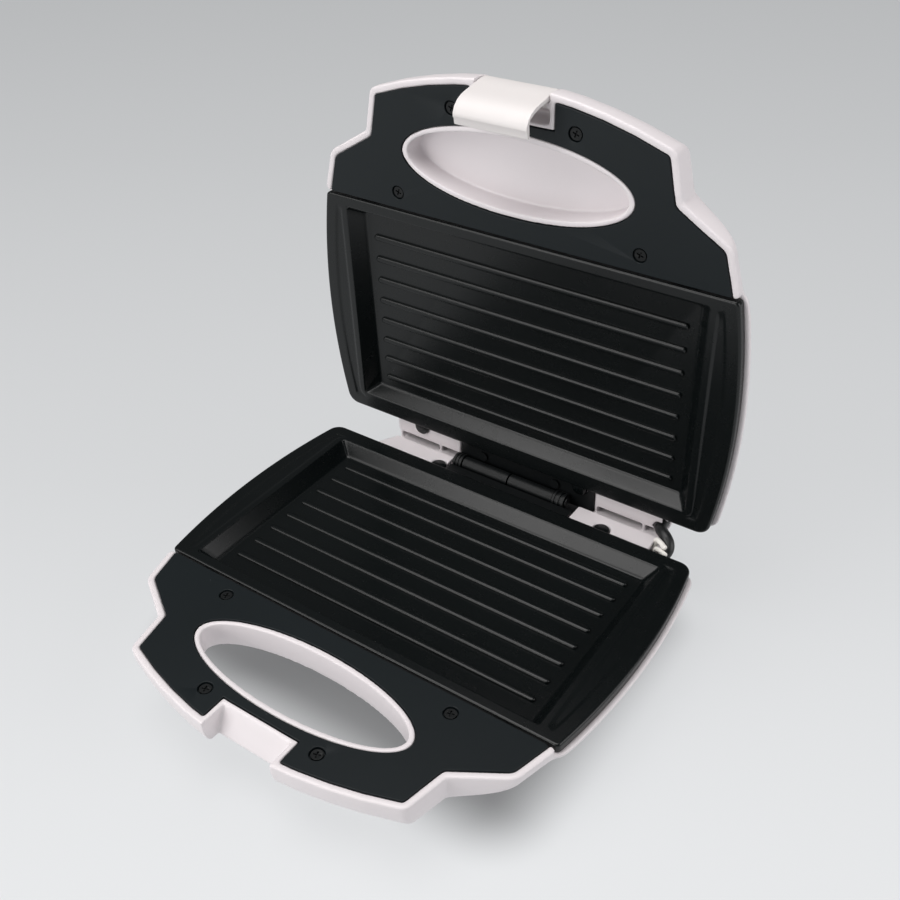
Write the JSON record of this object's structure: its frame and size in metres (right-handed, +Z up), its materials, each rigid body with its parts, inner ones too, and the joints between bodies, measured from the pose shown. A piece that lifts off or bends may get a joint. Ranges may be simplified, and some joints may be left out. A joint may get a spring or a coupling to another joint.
{
  "type": "sandwich toaster",
  "caption": "Sandwich toaster, open: shallow ribbed grill plates in white shells, hinged at the rear, with looped handles and a latch flap on the lid.",
  "frame": {"origin": "on the surface it stands on, under the middle of the box of the toaster with its lid open", "axes": "+X along the hinge to the right seen from the handle, +Y towards the rear, where the hinge and the cord gland are, +Z up"},
  "size_m": [0.2442, 0.2564, 0.2564],
  "materials": {
    "white_shell": "satin, slightly warm white",
    "latch_plastic": "satin, creamier white",
    "dark_trim": "fine matt grain, blue-grey black",
    "coated_plate": "non-stick coating, satin black",
    "element_steel": "heat-tinted tube",
    "ceramic": "glazed off-white",
    "reflector_sheet": "mill finish sheet",
    "plain_steel": "zinc plated",
    "black_steel": "black oxide",
    "foot_rubber": "matt",
    "gland_plastic": "matt light grey",
    "silicone_lead": "smooth silicone",
    "black_sleeve": "smooth heat-resistant sleeve",
    "red_lens": "clear red",
    "green_lens": "clear green",
    "lamp_glass": "clear"
  },
  "bodies": {
    "base": {"base_housing": "white_shell", "base_trim_panel": "dark_trim", "base_grill_plate": "coated_plate", "base_heating_element": "element_steel", "base_element_terminals": "ceramic", "base_heat_reflector": "reflector_sheet", "base_reflector_screws": "plain_steel", "base_plate_screws": "plain_steel", "base_trim_screws": "black_steel", "base_hinge_bracket": "black_steel", "base_hinge_screws": "black_steel", "hinge_pin": "black_steel", "rubber_feet": "foot_rubber", "thermostat": "ceramic", "thermal_fuse": "ceramic", "terminal_block": "ceramic", "cord_gland": "gland_plastic", "base_wiring": "silicone_lead", "lead_sleeve": "black_sleeve", "lead_pair": "silicone_lead"},
    "lid": {"lid_housing": "white_shell", "lid_trim_panel": "dark_trim", "lid_grill_plate": "coated_plate", "lid_heating_element": "element_steel", "lid_element_terminals": "ceramic", "lid_heat_reflector": "reflector_sheet", "lid_reflector_screws": "plain_steel", "lid_plate_screws": "plain_steel", "lid_trim_screws": "black_steel", "lid_hinge_bracket": "black_steel", "lid_hinge_screws": "black_steel", "power_lamp_lens": "red_lens", "ready_lamp_lens": "green_lens", "neon_lamps": "lamp_glass", "lamp_holder": "gland_plastic", "lid_wiring": "silicone_lead", "latch_pin": "plain_steel"},
    "latch": {"latch_flap": "latch_plastic"}
  },
  "joints": [
    {"name": "lid_hinge", "type": "hinge", "parent": "base", "child": "lid", "pos_m": [0, 0.08997, 0.0382], "axis": [1, 0, 0], "range_deg": [0, 88], "deforming": ["lead_sleeve", "lead_pair"]},
    {"name": "latch_pivot", "type": "hinge", "parent": "lid", "child": "latch", "pos_m": [0, 0.09233, 0.25131], "axis": [-1, 0, 0], "range_deg": [0, 60]}
  ]
}
